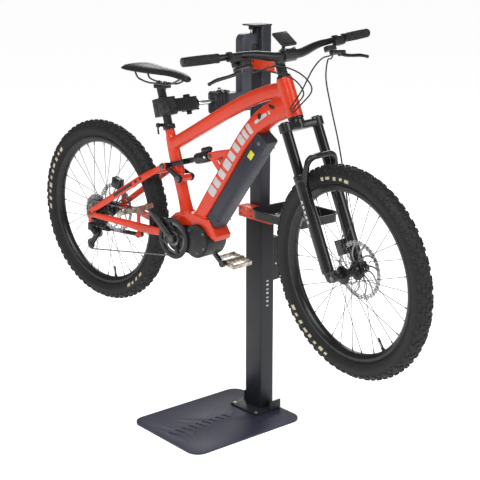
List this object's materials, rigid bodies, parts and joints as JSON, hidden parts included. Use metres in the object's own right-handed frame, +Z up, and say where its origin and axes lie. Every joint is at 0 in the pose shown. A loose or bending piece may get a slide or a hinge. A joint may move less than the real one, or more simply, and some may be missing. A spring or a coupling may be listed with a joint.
{
  "type": "bicycle on work stand",
  "caption": "Full-suspension electric mountain bike held by its seat post in the clamp of a lifting column stand with a flat base plate and tool tray.",
  "frame": {"origin": "on the floor under the column's axis, at the base plate's underside", "axes": "+Z up along the column, +X along the bike towards its front wheel, -Y from the column towards the bike"},
  "size_m": [1.9699, 0.9326, 1.6246],
  "materials": {
    "plate": "satin",
    "column": "satin",
    "black_part": "satin",
    "carriage": "satin",
    "zinc": "satin",
    "polished": "polished",
    "frame_paint": "gloss",
    "bracket_paint": "gloss",
    "black_alloy": "satin",
    "black_plastic": "matte",
    "battery_case": "satin",
    "tyre": "matte",
    "saddle_cover": "gloss",
    "rubber": "matte",
    "steel": "satin",
    "pedal": "satin"
  },
  "bodies": {
    "stand": {"base_plate": "plate", "foot_flange": "column", "foot_bolts": "zinc", "lower_column": "column", "column_bushing": "black_plastic", "drive_box": "black_plastic", "lift_actuator": "column"},
    "lift": {"upper_column": "column", "lift_rod": "zinc", "column_cap": "column", "carriage": "carriage", "slide_block": "black_part", "tray_brackets": "bracket_paint", "tool_tray": "black_part", "clamp_head": "black_part"},
    "lock_knob": {"lock_knob": "black_plastic"},
    "head_lever": {"head_lever": "black_plastic"},
    "clamp": {"clamp_rod": "polished", "clamp_body": "black_alloy", "seat_post": "black_alloy", "saddle": "saddle_cover"},
    "jaw": {"clamp_jaw": "black_alloy"},
    "jaw_knob": {"jaw_knob": "black_plastic"},
    "frame": {"main_frame": "frame_paint", "frame_fasteners": "steel", "battery": "battery_case", "motor": "black_alloy", "headset": "black_alloy", "chain": "steel"},
    "seat_qr_lever": {"seat_qr_lever": "black_alloy"},
    "cranks": {"cranks": "black_alloy", "chainring": "black_alloy"},
    "pedal_right": {"pedal_right": "pedal"},
    "pedal_left": {"pedal_left": "pedal"},
    "chainstays": {"chainstays": "frame_paint"},
    "kickstand": {"kickstand": "black_alloy"},
    "seatstays": {"seatstays": "frame_paint", "rear_axle_and_brake": "steel", "derailleur": "black_alloy"},
    "rocker": {"rocker_link": "black_alloy"},
    "shock_body": {"shock_body": "black_alloy"},
    "shock_shaft": {"shock_shaft": "black_alloy"},
    "cassette": {"cassette": "steel"},
    "rear_wheel": {"rear_tyre": "tyre", "rear_rim": "black_alloy", "rear_spokes": "steel", "rear_hub": "black_alloy"},
    "steering": {"fork_crown": "black_alloy", "stem": "black_alloy", "handlebar": "black_alloy", "grips": "rubber", "controls": "black_plastic", "hoses": "black_plastic"},
    "fork_lowers": {"fork_lowers": "black_alloy"},
    "front_wheel": {"front_tyre": "tyre", "front_rim": "black_alloy", "front_spokes": "steel", "front_hub": "black_alloy"},
    "brake_lever_right": {"brake_lever_right": "black_alloy"},
    "brake_lever_left": {"brake_lever_left": "black_alloy"}
  },
  "joints": [
    {"name": "column_lift", "type": "slide", "parent": "stand", "child": "lift", "axis": [0, 0, 1], "range_m": [0, 0.35]},
    {"name": "lock_knob_turn", "type": "hinge", "parent": "lift", "child": "lock_knob", "pos_m": [0, -0.048, 1.57], "axis": [0, 0, 1], "range_deg": [0, 180]},
    {"name": "head_lever_turn", "type": "hinge", "parent": "lift", "child": "head_lever", "pos_m": [0, -0.207, 1.355], "axis": [0, 0, 1], "range_deg": [-90, 0]},
    {"name": "clamp_turn", "type": "hinge", "parent": "lift", "child": "clamp", "pos_m": [0, -0.26, 1.315], "axis": [0, 1, 0], "range_deg": [-20, 30]},
    {"name": "jaw_open", "type": "hinge", "parent": "clamp", "child": "jaw", "pos_m": [0, -0.358, 1.315], "axis": [0.2874, 0, -0.9578], "range_deg": [0, 20]},
    {"name": "jaw_knob_turn", "type": "hinge", "parent": "clamp", "child": "jaw_knob", "pos_m": [0, -0.358, 1.315], "axis": [-0.2874, 0, 0.9578], "range_deg": [0, 180]},
    {"name": "seat_height", "type": "slide", "parent": "clamp", "child": "frame", "axis": [0.2858, 0.03, -0.9578], "range_m": [-0.02, 0.06]},
    {"name": "seat_lever_open", "type": "hinge", "parent": "frame", "child": "seat_qr_lever", "pos_m": [-0.01532, -0.46561, 1.247], "axis": [-0.1045, 0.9945, 0], "range_deg": [0, 110]},
    {"name": "crank_spin", "type": "hinge", "parent": "frame", "child": "cranks", "pos_m": [0.09946, -0.45355, 0.845], "axis": [-0.1045, 0.9945, 0], "continuous": true},
    {"name": "pedal_right_spin", "type": "hinge", "parent": "cranks", "child": "pedal_right", "pos_m": [-0.01253, -0.58598, 0.9446], "axis": [-0.1045, 0.9945, 0], "continuous": true},
    {"name": "pedal_left_spin", "type": "hinge", "parent": "cranks", "child": "pedal_left", "pos_m": [0.21145, -0.32111, 0.7454], "axis": [-0.1045, 0.9945, 0], "continuous": true},
    {"name": "rear_suspension", "type": "hinge", "parent": "frame", "child": "chainstays", "pos_m": [0.03382, -0.46044, 0.857], "axis": [-0.1045, 0.9945, 0], "range_deg": [0, 12], "stiffness_Nm_per_rad": 400, "deforming": ["chain"]},
    {"name": "kickstand_fold", "type": "hinge", "parent": "chainstays", "child": "kickstand", "pos_m": [-0.26839, -0.39769, 0.765], "axis": [0.1045, -0.9945, 0], "range_deg": [0, 85]},
    {"name": "seatstay_pivot", "type": "hinge", "parent": "chainstays", "child": "seatstays", "pos_m": [-0.33316, -0.49902, 0.865], "axis": [-0.1045, 0.9945, 0], "range_deg": [-7, 0]},
    {"name": "rocker_pivot", "type": "hinge", "parent": "frame", "child": "rocker", "pos_m": [0.10244, -0.45323, 1.065], "axis": [-0.1045, 0.9945, 0], "range_deg": [0, 36]},
    {"name": "shock_swing", "type": "hinge", "parent": "frame", "child": "shock_body", "pos_m": [0.25162, -0.43755, 1.168], "axis": [-0.1045, 0.9945, 0], "range_deg": [0, 9]},
    {"name": "shock_stroke", "type": "slide", "parent": "shock_body", "child": "shock_shaft", "axis": [0.9551, 0.1004, 0.2787], "range_m": [0, 0.045]},
    {"name": "cassette_spin", "type": "hinge", "parent": "seatstays", "child": "cassette", "pos_m": [-0.362, -0.50205, 0.865], "axis": [-0.1045, 0.9945, 0], "continuous": true},
    {"name": "rear_wheel_spin", "type": "hinge", "parent": "seatstays", "child": "rear_wheel", "pos_m": [-0.362, -0.50205, 0.865], "axis": [-0.1045, 0.9945, 0], "continuous": true},
    {"name": "steer", "type": "hinge", "parent": "frame", "child": "steering", "pos_m": [0.63706, -0.39704, 1.3475], "axis": [-0.3886, -0.0408, 0.9205], "range_deg": [-35, 50], "deforming": ["hoses"]},
    {"name": "fork_travel", "type": "slide", "parent": "steering", "child": "fork_lowers", "axis": [-0.3886, -0.0408, 0.9205], "range_m": [0, 0.12], "stiffness_N_per_m": 4000, "springref_m": -0.01, "deforming": ["hoses"]},
    {"name": "front_wheel_spin", "type": "hinge", "parent": "fork_lowers", "child": "front_wheel", "pos_m": [0.88632, -0.37796, 0.86477], "axis": [0.0512, 0.9965, 0.0658], "continuous": true},
    {"name": "brake_right", "type": "hinge", "parent": "steering", "child": "brake_lever_right", "pos_m": [0.62117, -0.61407, 1.51585], "axis": [-0.92, 0.0727, -0.3851], "range_deg": [0, 14], "stiffness_Nm_per_rad": 3, "springref_deg": -5.73},
    {"name": "brake_left", "type": "hinge", "parent": "steering", "child": "brake_lever_left", "pos_m": [0.64227, -0.2035, 1.54297], "axis": [0.92, -0.0727, 0.3851], "range_deg": [0, 14], "stiffness_Nm_per_rad": 3, "springref_deg": -5.73}
  ],
  "couplings": [
    {"joint": "rocker_pivot", "follows": "rear_suspension", "ratio": 2.828},
    {"joint": "seatstay_pivot", "follows": "rear_suspension", "ratio": -0.4929},
    {"joint": "shock_swing", "follows": "rear_suspension", "ratio": 0.6331},
    {"joint": "shock_stroke", "follows": "rear_suspension", "m_per_rad": 0.18774},
    {"joint": "cassette_spin", "follows": "crank_spin", "ratio": 1.4667}
  ]
}
